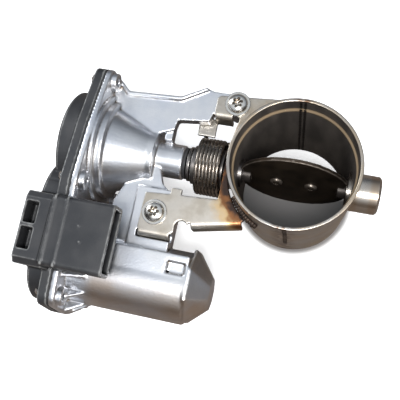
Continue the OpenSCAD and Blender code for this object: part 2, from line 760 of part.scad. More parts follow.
module cover_screws() color("silver") on_shaft()
    for (ear = EARS) {
        rod_x(cover_step, flange_front + 2.6, cover_screw_r, y = ear[0], z = ear[1]);
        difference() {
            rod_x(cover_step - cover_head_h, cover_step, cover_head_r, y = ear[0], z = ear[1]);
            rod_x(cover_step - cover_head_h - 1, cover_step - 1, 1.5, y = ear[0], z = ear[1], $fn = 6);
        }
    }

tube_shell_left();
tube_shell_right();
seam_welds();
bracket();
bracket_weld();
bracket_screws();
shaft_bush();
bearing_cap();
cap_bush();
valve_shaft();
flap_plate();
flap_screws();
driven_hub();
coupling_spring();
gear_housing();
nose_ring();
needle_bearing();
ball_bearing();
shaft_seal();
output_shaft();
drive_disc();
sector_gear();
return_spring();
sensor_magnet();
sensor_board();
idler_gear();
idler_pin();
drive_motor();
motor_plate();
motor_plate_screws();
motor_wave_washer();
motor_shaft();
motor_pinion();
housing_gasket();
gear_cover();
connector_pins();
cover_screws();
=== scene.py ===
"""Looks of a motor-driven throttle: a flap in a welded steel tube with a cast gear actuator.

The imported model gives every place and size.  Each sub-assembly is a class that builds its
pieces round the CAD nodes it stands for, and each finish is a frozen dataclass.
"""

import json
import logging
import math
from dataclasses import dataclass
from enum import Enum
from typing import Callable, Sequence

import bmesh
import bpy
from mathutils import Matrix, Vector


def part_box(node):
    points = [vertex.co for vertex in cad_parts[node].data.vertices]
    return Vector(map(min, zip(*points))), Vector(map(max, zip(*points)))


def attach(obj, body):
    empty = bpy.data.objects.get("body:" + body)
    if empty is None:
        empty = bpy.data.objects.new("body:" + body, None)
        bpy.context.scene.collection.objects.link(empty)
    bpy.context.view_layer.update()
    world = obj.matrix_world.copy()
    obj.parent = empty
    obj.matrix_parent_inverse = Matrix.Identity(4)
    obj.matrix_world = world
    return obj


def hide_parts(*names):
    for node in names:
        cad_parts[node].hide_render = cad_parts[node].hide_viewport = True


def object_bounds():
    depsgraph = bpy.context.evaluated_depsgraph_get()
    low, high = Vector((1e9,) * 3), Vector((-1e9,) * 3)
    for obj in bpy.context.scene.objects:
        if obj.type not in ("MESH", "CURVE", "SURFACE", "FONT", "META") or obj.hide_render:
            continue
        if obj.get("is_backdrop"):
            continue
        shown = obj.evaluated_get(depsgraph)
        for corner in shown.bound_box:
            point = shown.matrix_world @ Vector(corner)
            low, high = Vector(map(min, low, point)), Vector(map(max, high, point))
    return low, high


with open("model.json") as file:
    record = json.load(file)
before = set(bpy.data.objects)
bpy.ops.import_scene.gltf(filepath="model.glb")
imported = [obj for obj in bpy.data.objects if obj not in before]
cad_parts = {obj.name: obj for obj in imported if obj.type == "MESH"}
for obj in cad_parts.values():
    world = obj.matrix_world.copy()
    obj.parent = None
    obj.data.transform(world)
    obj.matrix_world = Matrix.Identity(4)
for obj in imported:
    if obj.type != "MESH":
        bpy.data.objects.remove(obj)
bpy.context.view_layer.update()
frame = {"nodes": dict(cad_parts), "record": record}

LOG = logging.getLogger("throttle")
MM = 0.001
Colour = tuple[float, float, float]
Profile = Sequence[tuple[float, float]]


class Axis(Enum):
    """Row axis that a turned piece is built round."""

    X = "x"
    Z = "z"


# ---- Mesh tools -----------------------------------------------------------------------


def on_axis(axis: Axis, along: float, radius: float, angle: float, middle: Vector) -> Vector:
    """Place of a point of a turned piece.

    Args:
        axis: Axis that the piece is turned round.
        along: Distance along the axis, in row coordinates.
        radius: Distance from the axis.
        angle: Angle round the axis, in radians.
        middle: Any point on the axis.

    Returns:
        The point in row coordinates.
    """
    c, s = radius * math.cos(angle), radius * math.sin(angle)
    if axis is Axis.X:
        return Vector((along, middle.y + c, middle.z + s))
    return Vector((middle.x + c, middle.y + s, along))


def rounded(points: Profile, radius: float, steps: int = 4) -> list[tuple[float, float]]:
    """Closed outline with every corner rounded.

    Args:
        points: Corners in order.
        radius: Largest radius of the rounding.
        steps: Segments in each rounded corner.

    Returns:
        The points of the rounded outline.
    """
    result = []
    count = len(points)
    for i in range(count):
        here = Vector(points[i])
        before = Vector(points[i - 1]) - here
        after = Vector(points[(i + 1) % count]) - here
        cut = min(radius, 0.45 * before.length, 0.45 * after.length)
        start, end = here + before.normalized() * cut, here + after.normalized() * cut
        for k in range(steps + 1):
            t = k / steps
            point = start.lerp(here, t).lerp(here.lerp(end, t), t)
            result.append((point.x, point.y))
    return result


def turned(
    outline: Profile, middle: Vector, axis: Axis = Axis.X,
    sweep: tuple[float, float] = (0.0, 360.0), steps: int = 96,
) -> bpy.types.Mesh:
    """Solid of revolution from a closed outline.

    Args:
        outline: Closed outline of (along, radius) points, in metres.
        middle: Any point on the axis.
        axis: Axis to turn round.
        sweep: First and last angle, in degrees.
        steps: Segments round the sweep.

    Returns:
        A closed mesh with its faces outward.
    """
    bm = bmesh.new()
    full = sweep[1] - sweep[0] >= 360.0
    rings = []
    for i in range(steps if full else steps + 1):
        angle = math.radians(sweep[0] + (sweep[1] - sweep[0]) * i / steps)
        rings.append([bm.verts.new(on_axis(axis, a, r, angle, middle)) for a, r in outline])
    count = len(outline)
    for i in range(len(rings) if full else len(rings) - 1):
        one, two = rings[i], rings[(i + 1) % len(rings)]
        for k in range(count):
            bm.faces.new((one[k], two[k], two[(k + 1) % count], one[(k + 1) % count]))
    if not full:
        bm.faces.new(rings[0])
        bm.faces.new(rings[-1])
    return finished(bm)


def finished(bm: bmesh.types.BMesh) -> bpy.types.Mesh:
    """Merges doubles, turns the faces outward and makes the mesh."""
    bmesh.ops.remove_doubles(bm, verts=bm.verts, dist=1e-7)
    bmesh.ops.dissolve_degenerate(bm, edges=bm.edges, dist=1e-8)
    bmesh.ops.recalc_face_normals(bm, faces=bm.faces)
    mesh = bpy.data.meshes.new("made")
    bm.to_mesh(mesh)
    bm.free()
    return mesh


def prism(outline: Profile, place: Callable[[float, float, float], Vector],
          low: float, high: float) -> bpy.types.Mesh:
    """Straight solid over a closed outline.

    Args:
        outline: Closed outline of (u, v) points.
        place: Turns (u, v, height) into a row point.
        low: Height of the first face.
        high: Height of the second face.

    Returns:
        A closed mesh.
    """
    bm = bmesh.new()
    ends = [[bm.verts.new(place(u, v, h)) for u, v in outline] for h in (low, high)]
    count = len(outline)
    for k in range(count):
        n = (k + 1) % count
        bm.faces.new((ends[0][k], ends[0][n], ends[1][n], ends[1][k]))
    bm.faces.new(ends[0])
    bm.faces.new(ends[1])
    return finished(bm)


def upright(x: float, y: float, z: float) -> Vector:
    """Place for an outline drawn in X and Y with its height along Z."""
    return Vector((x, y, z))


def sideways(y: float, z: float, x: float) -> Vector:
    """Place for an outline drawn in Y and Z with its height along X."""
    return Vector((x, y, z))


def cad_copy(node: str) -> bpy.types.Mesh:
    """Merged copy of a CAD node's mesh."""
    bm = bmesh.new()
    bm.from_mesh(frame["nodes"][node].data)
    bmesh.ops.remove_doubles(bm, verts=bm.verts, dist=1e-6)
    mesh = bpy.data.meshes.new(node)
    bm.to_mesh(mesh)
    bm.free()
    return mesh


def joined(meshes: Sequence[bpy.types.Mesh]) -> bpy.types.Mesh:
    """One mesh that holds several."""
    bm = bmesh.new()
    for mesh in meshes:
        bm.from_mesh(mesh)
    result = bpy.data.meshes.new("joined")
    bm.to_mesh(result)
    bm.free()
    return result


def as_object(name: str, mesh: bpy.types.Mesh, crease: float = 180.0) -> bpy.types.Object:
    """Object in the scene with smooth shading.

    Args:
        name: Name of the piece.
        mesh: Its mesh, in row coordinates.
        crease: Edges bent by more than this many degrees stay sharp.

    Returns:
        The new object.
    """
    mesh.shade_smooth()
    if crease < 180.0:
        mesh.set_sharp_from_angle(angle=math.radians(crease))
    mesh.name = name
    piece = bpy.data.objects.new(name, mesh)
    bpy.context.scene.collection.objects.link(piece)
    return piece


def bake(piece: bpy.types.Object) -> bpy.types.Object:
    """Turns a piece's modifiers into its mesh."""
    graph = bpy.context.evaluated_depsgraph_get()
    mesh = bpy.data.meshes.new_from_object(piece.evaluated_get(graph))
    piece.modifiers.clear()
    piece.data = mesh
    mesh.name = piece.name
    return piece


@dataclass(frozen=True)
class Fusing:
    """How several closed meshes are melted into one skin with soft edges."""

    voxel: float
    soften: int
    triangles: int

    def skin(self, name: str, meshes: Sequence[bpy.types.Mesh]) -> bpy.types.Object:
        """Melts the meshes together.

        Args:
            name: Name of the piece.
            meshes: Closed meshes, which may overlap.

        Returns:
            One object with a single closed skin.
        """
        piece = as_object(name, joined(meshes))
        remesh = piece.modifiers.new("melt", "REMESH")
        remesh.mode = "VOXEL"
        remesh.voxel_size = self.voxel
        remesh.use_smooth_shade = True
        smooth = piece.modifiers.new("soften", "SMOOTH")
        smooth.iterations = self.soften
        smooth.factor = 0.5
        bake(piece)
        made = sum(len(p.vertices) - 2 for p in piece.data.polygons)
        if made > self.triangles:
            thin = piece.modifiers.new("thin", "DECIMATE")
            thin.ratio = self.triangles / made
            bake(piece)
        piece.data.shade_smooth()
        LOG.info("%s: %d triangles of %d", name, min(made, self.triangles), made)
        return piece


# ---- Shader tools ---------------------------------------------------------------------


class Graph:
    """Short names for building one node tree."""

    def __init__(self, tree: bpy.types.NodeTree) -> None:
        """Keeps the tree."""
        self.tree = tree

    def add(self, kind: str, **values: object) -> bpy.types.Node:
        """Adds a node and sets its properties."""
        node = self.tree.nodes.new(kind)
        for key, value in values.items():
            setattr(node, key, value)
        return node

    def feed(self, socket: bpy.types.NodeSocket, value: object) -> None:
        """Links a socket to another socket, or sets its value."""
        if isinstance(value, bpy.types.NodeSocket):
            self.tree.links.new(value, socket)
        elif isinstance(value, tuple) and len(value) == 3 and socket.type == "RGBA":
            socket.default_value = (*value, 1.0)
        else:
            socket.default_value = value

    def sum(self, kind: str, *values: object) -> bpy.types.NodeSocket:
        """Math node of the given operation."""
        node = self.add("ShaderNodeMath", operation=kind)
        for socket, value in zip(node.inputs, values):
            self.feed(socket, value)
        return node.outputs[0]

    def place(self) -> bpy.types.NodeSocket:
        """Object coordinates, which are row coordinates in metres."""
        return self.add("ShaderNodeTexCoord").outputs["Object"]

    def split(self, vector: bpy.types.NodeSocket) -> Sequence[bpy.types.NodeSocket]:
        """X, Y and Z of a vector."""
        node = self.add("ShaderNodeSeparateXYZ")
        self.feed(node.inputs[0], vector)
        return node.outputs

    def noise(self, size: float, detail: float = 3.0, stretch: Colour = (1, 1, 1)) -> bpy.types.NodeSocket:
        """Noise value whose features are about size metres across."""
        spread = self.add("ShaderNodeMapping")
        self.feed(spread.inputs["Vector"], self.place())
        spread.inputs["Scale"].default_value = stretch
        node = self.add("ShaderNodeTexNoise")
        self.feed(node.inputs["Vector"], spread.outputs[0])
        node.inputs["Scale"].default_value = 1.0 / size
        node.inputs["Detail"].default_value = detail
        return node.outputs[0]

    def ramp(self, value: object, low: float, high: float,
             first: float = 0.0, last: float = 1.0) -> bpy.types.NodeSocket:
        """Value stretched smoothly from low..high to first..last and clamped."""
        node = self.add("ShaderNodeMapRange", interpolation_type="SMOOTHSTEP")
        for socket, given in zip(node.inputs, (value, low, high, first, last)):
            self.feed(socket, given)
        return node.outputs[0]

    def mix(self, share: object, one: object, two: object) -> bpy.types.NodeSocket:
        """Colour between two."""
        node = self.add("ShaderNodeMix", data_type="RGBA")
        for socket, value in ((node.inputs[0], share), (node.inputs[6], one), (node.inputs[7], two)):
            self.feed(socket, value)
        return node.outputs[2]

    def from_axis(self, x: object, y: object) -> bpy.types.NodeSocket:
        """Distance from the tube's axis of a point at x and y."""
        squares = self.sum("ADD", self.sum("MULTIPLY", x, x), self.sum("MULTIPLY", y, y))
        return self.sum("SQRT", squares)

    def group(self, made: bpy.types.NodeTree, **values: object) -> bpy.types.Node:
        """Places a node group with its own values."""
        node = self.add("ShaderNodeGroup")
        node.node_tree = made
        for key, value in values.items():
            self.feed(node.inputs[key.replace("_", " ")], value)
        return node


def new_group(name: str, wants: Sequence[tuple[str, float]], gives: Sequence[str]) -> tuple[
    bpy.types.NodeTree, Graph, bpy.types.Node, bpy.types.Node
]:
    """Empty shader group with named float sockets.

    Args:
        name: Name of the group.
        wants: Input names and their usual values.
        gives: Output names.

    Returns:
        The tree, its graph, its input node and its output node.
    """
    tree = bpy.data.node_groups.new(name, "ShaderNodeTree")
    for key, value in wants:
        socket = tree.interface.new_socket(key, in_out="INPUT", socket_type="NodeSocketFloat")
        socket.default_value = value
    for key in gives:
        tree.interface.new_socket(key, in_out="OUTPUT", socket_type="NodeSocketFloat")
    graph = Graph(tree)
    return tree, graph, graph.add("NodeGroupInput"), graph.add("NodeGroupOutput")


def surface_grain() -> bpy.types.NodeTree:
    """Group that gives a fine height and a soft mottle, for cast, moulded and rolled skins."""
    tree, graph, given, result = new_group(
        "surface grain", (("Grain Size", 0.0006), ("Mottle Size", 0.012)), ("Height", "Mottle")
    )
    for key, output, detail in (("Grain Size", "Height", 2.0), ("Mottle Size", "Mottle", 4.0)):
        node = graph.add("ShaderNodeTexNoise")
        graph.feed(node.inputs["Vector"], graph.place())
        graph.feed(node.inputs["Scale"], graph.sum("DIVIDE", 1.0, given.outputs[key]))
        node.inputs["Detail"].default_value = detail
        graph.feed(result.inputs[output], node.outputs[0])
    return tree


def edge_wear() -> bpy.types.NodeTree:
    """Group that gives a mask on rubbed edges, which also carries painted edge highlights, and one in dirty
    hollows.
    """
    tree, graph, given, result = new_group(
        "edge wear", (("Spread", 0.04), ("Break Size", 0.004)), ("Edges", "Hollows")
    )
    point = graph.add("ShaderNodeNewGeometry").outputs["Pointiness"]
    node = graph.add("ShaderNodeTexNoise")
    graph.feed(node.inputs["Vector"], graph.place())
    graph.feed(node.inputs["Scale"], graph.sum("DIVIDE", 1.0, given.outputs["Break Size"]))
    patchy = graph.ramp(node.outputs[0], 0.3, 0.7, 0.35, 1.0)
    away = graph.sum("SUBTRACT", point, 0.5)
    rubbed = graph.ramp(graph.sum("DIVIDE", away, given.outputs["Spread"]), 0.2, 1.0)
    sunk = graph.ramp(graph.sum("DIVIDE", away, given.outputs["Spread"]), -0.2, -1.0)
    graph.feed(result.inputs["Edges"], graph.sum("MULTIPLY", rubbed, patchy))
    graph.feed(result.inputs["Hollows"], sunk)
    return tree


GRAIN = surface_grain()
WEAR = edge_wear()
Paint = Callable[[Graph, bpy.types.NodeSocket, object], tuple[object, object]]


@dataclass(frozen=True)
class Finish:
    """Finish of one kind of surface."""

    name: str
    base: Colour
    mottled: Colour
    metallic: float
    roughness: float
    roughness_span: float = 0.12
    grain: float = 0.6 * MM
    depth: float = 0.02 * MM
    mottle: float = 12 * MM
    edge_wear_and_highlight: Colour | None = None
    dirty: Colour | None = None
    spread: float = 0.05
    coat: float = 0.0
    painted: Paint | None = None

    def material(self) -> bpy.types.Material:
        """Builds the material.

        Returns:
            The finished material.
        """
        made = bpy.data.materials.new(self.name)
        made.use_nodes = True
        made.diffuse_color = (*self.base, 1.0)
        graph = Graph(made.node_tree)
        shader = made.node_tree.nodes["Principled BSDF"]
        grain = graph.group(GRAIN, Grain_Size=self.grain, Mottle_Size=self.mottle)
        height, mottle = grain.outputs["Height"], grain.outputs["Mottle"]
        share = graph.ramp(mottle, 0.3, 0.7)
        colour = graph.mix(share, self.base, self.mottled)
        rough = graph.ramp(
            mottle, 0.25, 0.75, self.roughness - self.roughness_span / 2,
            self.roughness + self.roughness_span / 2,
        )
        if self.edge_wear_and_highlight or self.dirty:
            wear = graph.group(WEAR, Spread=self.spread, Break_Size=3 * MM)
            if self.dirty:
                colour = graph.mix(wear.outputs["Hollows"], colour, self.dirty)
            # Light colour on convex edges: wear, and on some finishes also a painted edge highlight.
            if self.edge_wear_and_highlight:
                colour = graph.mix(wear.outputs["Edges"], colour, self.edge_wear_and_highlight)
        if self.painted:
            colour, rough = self.painted(graph, colour, rough)
        graph.feed(shader.inputs["Base Color"], colour)
        graph.feed(shader.inputs["Roughness"], rough)
        shader.inputs["Metallic"].default_value = self.metallic
        shader.inputs["Coat Weight"].default_value = self.coat
        bump = graph.add("ShaderNodeBump")
        bump.inputs["Strength"].default_value = 1.0
        bump.inputs["Distance"].default_value = self.depth
        graph.feed(bump.inputs["Height"], height)
        graph.feed(shader.inputs["Normal"], bump.outputs[0])
        return made


def dress(piece: bpy.types.Object, finish: bpy.types.Material) -> bpy.types.Object:
    """Gives a piece one material all over."""
    piece.data.materials.clear()
    piece.data.materials.append(finish)
    return piece


def settle(piece: bpy.types.Object, body: str, slot: str, *nodes: str) -> bpy.types.Object:
    """Ties a finished piece to the frame.

    Args:
        piece: The piece.
        body: CAD body that it rides on.
        slot: Material slot of the record; not used.
        nodes: CAD nodes that it stands for.

    Returns:
        The piece.
    """
    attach(piece, body)
    if nodes:
        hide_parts(*nodes)
    LOG.info("%s rides on %s", piece.name, body)
    return piece


# ---- Places read from the frame -------------------------------------------------------


@dataclass(frozen=True)
class Layout:
    """Sizes of the tube and the shaft line, read from the frame."""

    mouth: float
    socket: float
    tube: float
    bore: float
    spigot: float
    spigot_length: float
    step: float
    bottom: float
    shaft: Vector

    @classmethod
    def read(cls) -> "Layout":
        """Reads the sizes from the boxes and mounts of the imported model."""
        low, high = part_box("tube_shell_right")
        mounts = {m["name"]: m for m in frame["record"]["mounts"]}
        socket, spigot = mounts["inlet_socket"]["dims"], mounts["outlet_spigot"]["dims"]
        widening = 0.8 * MM
        shaft_low, shaft_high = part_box("valve_shaft")
        return cls(
            mouth=high.y,
            socket=socket["r_mm"] * MM,
            tube=high.y - widening,
            bore=socket["r_mm"] * MM - widening,
            spigot=spigot["r_mm"] * MM,
            spigot_length=spigot["length_mm"] * MM,
            step=-socket["length_mm"] * MM,
            bottom=low.z,
            shaft=Vector((0.0, 0.0, (shaft_low.z + shaft_high.z) / 2)),
        )


PLACES = Layout.read()


# ---- Painted effects ------------------------------------------------------------------


def sooty_bore(graph: Graph, colour: bpy.types.NodeSocket, rough: object) -> tuple[object, object]:
    """Soot on the tube's inner wall, and straw tints on the outside.

    Args:
        graph: Graph of the material.
        colour: Colour so far.
        rough: Roughness so far.

    Returns:
        The new colour and roughness.
    """
    x, y, z = graph.split(graph.place())
    radius = graph.from_axis(x, y)
    wall = graph.ramp(
        z, PLACES.step - 1.2 * MM, PLACES.step, PLACES.bore + 0.4 * MM, PLACES.socket + 0.5 * MM
    )
    inside = graph.ramp(graph.sum("SUBTRACT", wall, radius), -0.1 * MM, 0.3 * MM)
    lip = graph.ramp(z, -0.9 * MM, -0.2 * MM)
    streak = graph.noise(9 * MM, 4.0, (1.0, 1.0, 0.25))
    soot_with_step_band = graph.mix(graph.ramp(streak, 0.35, 0.7), (0.075, 0.066, 0.06), (0.15, 0.13, 0.115))
    # A lighter golden band is mixed into the soot colour along the inner step ledge.
    from_step = graph.sum("ABSOLUTE", graph.sum("SUBTRACT", z, PLACES.step - 0.5 * MM))
    step = graph.ramp(from_step, 1.5 * MM, 0.6 * MM)
    soot_with_step_band = graph.mix(graph.sum("MULTIPLY", step, 0.85), soot_with_step_band, (0.46, 0.34, 0.21))
    tint = graph.ramp(graph.noise(22 * MM, 3.0), 0.42, 0.62, 0.0, 0.55)
    colour = graph.mix(tint, colour, (0.5, 0.38, 0.24))
    seam = graph.ramp(graph.sum("ABSOLUTE", x), 7 * MM, 1.2 * MM)
    scorch = graph.sum("MULTIPLY", seam, graph.ramp(graph.noise(3 * MM, 3.0), 0.35, 0.62))
    colour = graph.mix(scorch, colour, (0.13, 0.075, 0.045))
    from_ledge = graph.sum("ABSOLUTE", graph.sum("SUBTRACT", z, PLACES.step - 1.0 * MM))
    ledge = graph.ramp(from_ledge, 0.8 * MM, 0.2 * MM)
    colour = graph.mix(graph.sum("MULTIPLY", ledge, 0.7), colour, (0.16, 0.12, 0.09))
    share = graph.sum("MULTIPLY", inside, graph.sum("SUBTRACT", 1.0, lip))
    metal = graph.ramp(share, 0.0, 1.0, 1.0, 0.3)
    graph.feed(graph.tree.nodes["Principled BSDF"].inputs["Metallic"], metal)
    return graph.mix(share, colour, soot_with_step_band), graph.ramp(share, 0.0, 1.0, 0.3, 0.42)


def heated_sheet(graph: Graph, colour: bpy.types.NodeSocket, rough: object) -> tuple[object, object]:
    """Heat tints that fade away from the weld on the tube."""
    x, y, _ = graph.split(graph.place())
    radius = graph.from_axis(x, y)
    away = graph.sum("SUBTRACT", radius, PLACES.tube)
    away = graph.sum("ADD", away, graph.ramp(graph.noise(5 * MM, 3.0), 0.3, 0.7, -1.5 * MM, 1.5 * MM))
    near_weld = graph.ramp(graph.sum("ADD", y, graph.sum("MULTIPLY", x, 0.25)), 14 * MM, -8 * MM, 0.25, 1.0)
    straw = graph.sum("MULTIPLY", graph.ramp(away, 15 * MM, 8 * MM), near_weld)
    brown = graph.sum("MULTIPLY", graph.ramp(away, 9.5 * MM, 6 * MM), near_weld)
    black = graph.sum("MULTIPLY", graph.ramp(away, 6 * MM, 3.2 * MM), near_weld)
    colour = graph.mix(graph.sum("MULTIPLY", straw, 0.8), colour, (0.56, 0.38, 0.17))
    colour = graph.mix(brown, colour, (0.22, 0.1, 0.045))
    return graph.mix(black, colour, (0.05, 0.035, 0.03)), rough


def turned_rings(graph: Graph, colour: bpy.types.NodeSocket, rough: object) -> tuple[object, object]:
    """Fine bright and dull rings left by the lathe, with a straw tint in bands."""
    x, _, _ = graph.split(graph.place())
    wave = graph.sum("SINE", graph.sum("MULTIPLY", x, 2 * math.pi / (0.35 * MM)))
    band = graph.sum("SINE", graph.sum("MULTIPLY", x, 2 * math.pi / (9 * MM)))
    colour = graph.mix(graph.ramp(band, -0.4, 0.9, 0.0, 0.55), colour, (0.42, 0.31, 0.21))
    return colour, graph.sum("ADD", graph.ramp(wave, -1.0, 1.0, -0.02, 0.02), rough)


def painted_can_reflection(graph: Graph, colour: bpy.types.NodeSocket, rough: object) -> tuple[object, object]:
    """Painted warm-brown reflection low on the motor can, which fades upward."""
    low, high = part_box("motor_shaft")
    x, y, _ = graph.split(graph.place())
    side = graph.ramp(y, (low.y + high.y) / 2 + 3 * MM, (low.y + high.y) / 2 - 9 * MM)
    patch = graph.ramp(graph.noise(14 * MM, 4.0, (0.5, 1.0, 1.0)), 0.32, 0.6, 0.4, 1.0)
    along = graph.ramp(x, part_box("gear_housing")[0].x + 10 * MM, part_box("gear_housing")[0].x + 18 * MM)
    # Painted reflection: the can's lower side is tinted brown as if it mirrored a warm surround.
    warm_reflection_share = graph.sum("MULTIPLY", graph.sum("MULTIPLY", side, patch), graph.sum("MULTIPLY", along, 0.6))
    return graph.mix(warm_reflection_share, colour, (0.5, 0.34, 0.2)), rough


# ---- Finishes -------------------------------------------------------------------------

TUBE_STEEL = Finish("tube steel", (0.5, 0.475, 0.445), (0.4, 0.365, 0.325), 1.0, 0.3, painted=sooty_bore)
WELD_BEAD = Finish(
    "weld bead", (0.075, 0.05, 0.036), (0.03, 0.024, 0.021), 0.7, 0.48, mottle=4 * MM,
    depth=0.08 * MM,
)
SOOTY_WELD = Finish("sooty weld", (0.016, 0.013, 0.012), (0.035, 0.028, 0.024), 0.5, 0.5, mottle=4 * MM)
SOOTY_SHAFT = Finish("sooty shaft", (0.035, 0.03, 0.027), (0.07, 0.06, 0.053), 0.6, 0.42, mottle=5 * MM)
SHEET_STEEL = Finish(
    "bracket sheet", (0.55, 0.51, 0.455), (0.36, 0.325, 0.275), 1.0, 0.4, depth=0.03 * MM, mottle=7 * MM,
    edge_wear_and_highlight=(0.8, 0.78, 0.74), painted=heated_sheet,
)
ZINC_SCREW = Finish(
    "zinc screw", (0.8, 0.78, 0.74), (0.66, 0.62, 0.55), 1.0, 0.24, mottle=3 * MM,
    dirty=(0.16, 0.13, 0.1), edge_wear_and_highlight=(0.9, 0.89, 0.87),
)
TURNED_STEEL = Finish("turned steel", (0.58, 0.54, 0.49), (0.48, 0.42, 0.36), 1.0, 0.3, painted=turned_rings)
HUB_STEEL = Finish(
    "hub steel", (0.24, 0.22, 0.21), (0.12, 0.11, 0.1), 1.0, 0.34, edge_wear_and_highlight=(0.5, 0.48, 0.45), mottle=6 * MM
)
# The light edge colour of the flap and its screws is partly wear and partly a painted edge highlight.
FLAP_STEEL = Finish(
    "sooty flap", (0.03, 0.022, 0.016), (0.072, 0.052, 0.036), 0.7, 0.34, mottle=9 * MM,
    edge_wear_and_highlight=(0.3, 0.26, 0.22), depth=0.03 * MM,
)
SPRING_WIRE = Finish(
    "spring wire", (0.17, 0.15, 0.13), (0.07, 0.055, 0.045), 1.0, 0.26, mottle=5 * MM,
    edge_wear_and_highlight=(0.32, 0.28, 0.24),
)
# The casting's motor can carries a painted warm reflection on its lower side.
CASTING = Finish(
    "blasted casting", (0.8, 0.8, 0.81), (0.56, 0.58, 0.625), 1.0, 0.34, grain=0.9 * MM,
    depth=0.06 * MM, mottle=16 * MM, dirty=(0.2, 0.17, 0.14), edge_wear_and_highlight=(0.8, 0.8, 0.81), painted=painted_can_reflection,
)
# The cover's light edge colour is partly wear and partly a painted edge highlight.
COVER_PLASTIC = Finish(
    "cover plastic", (0.021, 0.022, 0.025), (0.034, 0.034, 0.036), 0.0, 0.4, grain=0.7 * MM,
    depth=0.05 * MM, mottle=14 * MM, edge_wear_and_highlight=(0.2, 0.2, 0.195), dirty=(0.012, 0.012, 0.013),
    spread=0.028,
)
BLACK_RUBBER = Finish("black rubber", (0.018, 0.018, 0.019), (0.035, 0.033, 0.032), 0.0, 0.6, depth=0.03 * MM)
BEARING_STEEL = Finish("bearing steel", (0.72, 0.72, 0.71), (0.64, 0.63, 0.61), 1.0, 0.2)
GEAR_NYLON = Finish("gear nylon", (0.72, 0.66, 0.5), (0.64, 0.57, 0.41), 0.0, 0.42, coat=0.2)
FERRITE = Finish("ferrite", (0.06, 0.06, 0.065), (0.09, 0.09, 0.09), 0.3, 0.5)
BOARD = Finish("board", (0.02, 0.16, 0.07), (0.03, 0.21, 0.1), 0.0, 0.35, coat=0.3)
CAN_STEEL = Finish("motor steel", (0.63, 0.63, 0.62), (0.55, 0.54, 0.52), 1.0, 0.3)
BRASS = Finish("brass", (0.75, 0.55, 0.22), (0.66, 0.46, 0.18), 1.0, 0.27, mottle=3 * MM)
FLOOR = Finish("floor", (0.93, 0.93, 0.935), (0.91, 0.91, 0.92), 0.0, 0.8, mottle=200 * MM)

DRESSED_NODES = {
    CAN_STEEL: ("drive_motor", "motor_plate"),
    BEARING_STEEL: ("cap_bush", "needle_bearing", "ball_bearing", "idler_pin", "motor_shaft"),
    ZINC_SCREW: ("motor_plate_screws",),
    GEAR_NYLON: ("sector_gear", "idler_gear"),
    FERRITE: ("sensor_magnet",),
    BOARD: ("sensor_board",),
    BRASS: ("motor_pinion", "connector_pins"),
    BLACK_RUBBER: ("shaft_seal", "housing_gasket"),
    SPRING_WIRE: ("motor_wave_washer", "return_spring"),
    HUB_STEEL: ("output_shaft",),
    SOOTY_SHAFT: ("valve_shaft",),
}


# ---- Screws, made by a node tree ------------------------------------------------------


@dataclass(frozen=True)
class ScrewHead:
    """Head of a screw, with its washer and its star recess."""

    radius: float
    height: float
    washer: float
    recess: float
    shank: float
    length: float

    def mesh(self) -> bpy.types.Mesh:
        """One screw along Z, whose head stands on Z = 0.

        Returns:
            A closed mesh.
        """
        bm = bmesh.new()
        dome = [(self.radius * math.cos(a), self.washer + (self.height - self.washer) * math.sin(a) ** 0.8)
                for a in (math.radians(d) for d in (0, 18, 36, 54, 66))]
        rim = [(0.0, -self.length), (self.shank, -self.length), (self.shank, 0.0)]
        if self.washer > 0:
            flange = self.radius * 1.27
            rim += [(flange - 0.2 * MM, 0.0), (flange, 0.25 * MM), (flange, self.washer - 0.2 * MM),
                    (flange - 0.25 * MM, self.washer)]
        steps = 48
        star = [self.recess * (0.82 + 0.18 * math.cos(6 * 2 * math.pi * i / steps)) for i in range(steps)]
        top = dome[-1][1]
        rings = []
        for r, z in rim[1:] + dome:
            rings.append([bm.verts.new((r * math.cos(a), r * math.sin(a), z))
                          for a in (2 * math.pi * i / steps for i in range(steps))])
        recess = ((1.12, top), (1.0, top - 0.15 * MM), (0.94, top - 0.9 * self.height), (0.2, -0.3 * MM))
        for grow, z in recess:
            rings.append([bm.verts.new((star[i] * grow * math.cos(a), star[i] * grow * math.sin(a), z))
                          for i, a in enumerate(2 * math.pi * i / steps for i in range(steps))])
        for one, two in zip(rings, rings[1:]):
            for i in range(steps):
                n = (i + 1) % steps
                bm.faces.new((one[i], one[n], two[n], two[i]))
        bm.faces.new(rings[0])
        bm.faces.new(rings[-1])
        return finished(bm)


